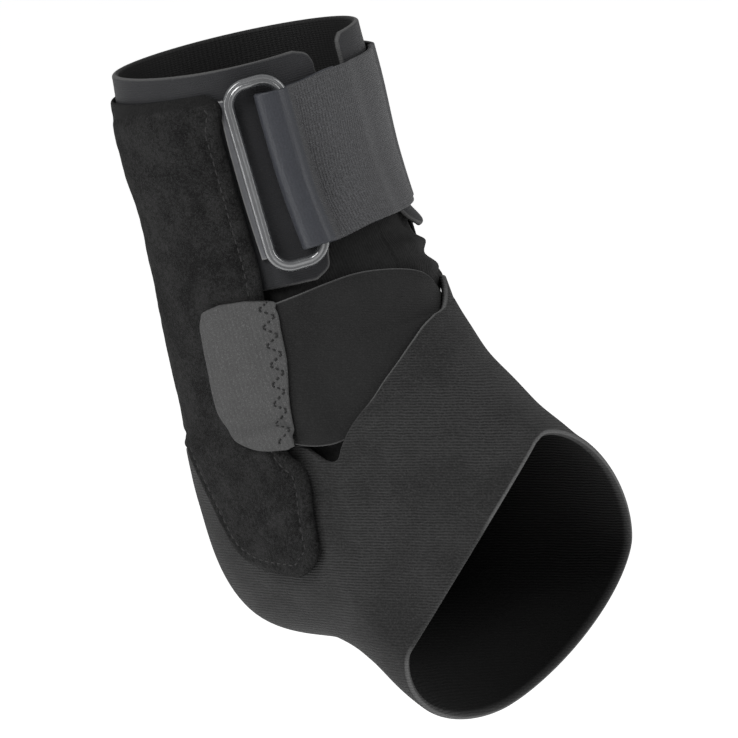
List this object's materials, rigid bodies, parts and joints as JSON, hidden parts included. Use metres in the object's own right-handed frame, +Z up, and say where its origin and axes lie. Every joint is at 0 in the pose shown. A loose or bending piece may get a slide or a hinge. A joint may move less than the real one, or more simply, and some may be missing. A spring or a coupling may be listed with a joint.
{
  "type": "ankle brace",
  "caption": "Soft ankle brace in its worn form: leg cuff, side stay pads, calf strap through an oblong ring, ankle strap with hook tab, and a foot wrap open at the toes.",
  "frame": {"origin": "the middle of the ankle inside the brace, where the ankle sits when it is worn", "axes": "+Z up the leg, +X forward to the toes, -Y to the outer side of the ankle, where the ring and the hook tab are"},
  "size_m": [0.1339, 0.1095, 0.2163],
  "materials": {
    "stretch_knit": "dull thin black stretch knit",
    "smooth_neoprene": "smooth dull blue-black neoprene face",
    "ribbed_neoprene": "dark grey neoprene face with fine level ribs",
    "strap_neoprene": "smooth dark neoprene face with a thin light cut edge",
    "loop_cloth": "fuzzy black loop cloth",
    "ring_plastic": "glossy dark grey",
    "keeper_strip": "thin half-gloss dark strip",
    "elastic_webbing": "grey elastic webbing with fine ribs across",
    "hook_tape": "mottled grey hook tape"
  },
  "bodies": {
    "root": {"inner_sleeve": "stretch_knit", "leg_cuff": "smooth_neoprene", "foot_wrap": "ribbed_neoprene", "ankle_strap": "strap_neoprene", "lateral_pad": "loop_cloth", "medial_pad": "loop_cloth", "ring": "ring_plastic", "ring_keeper": "keeper_strip", "calf_strap": "elastic_webbing", "hook_tab": "hook_tape"}
  },
  "joints": []
}
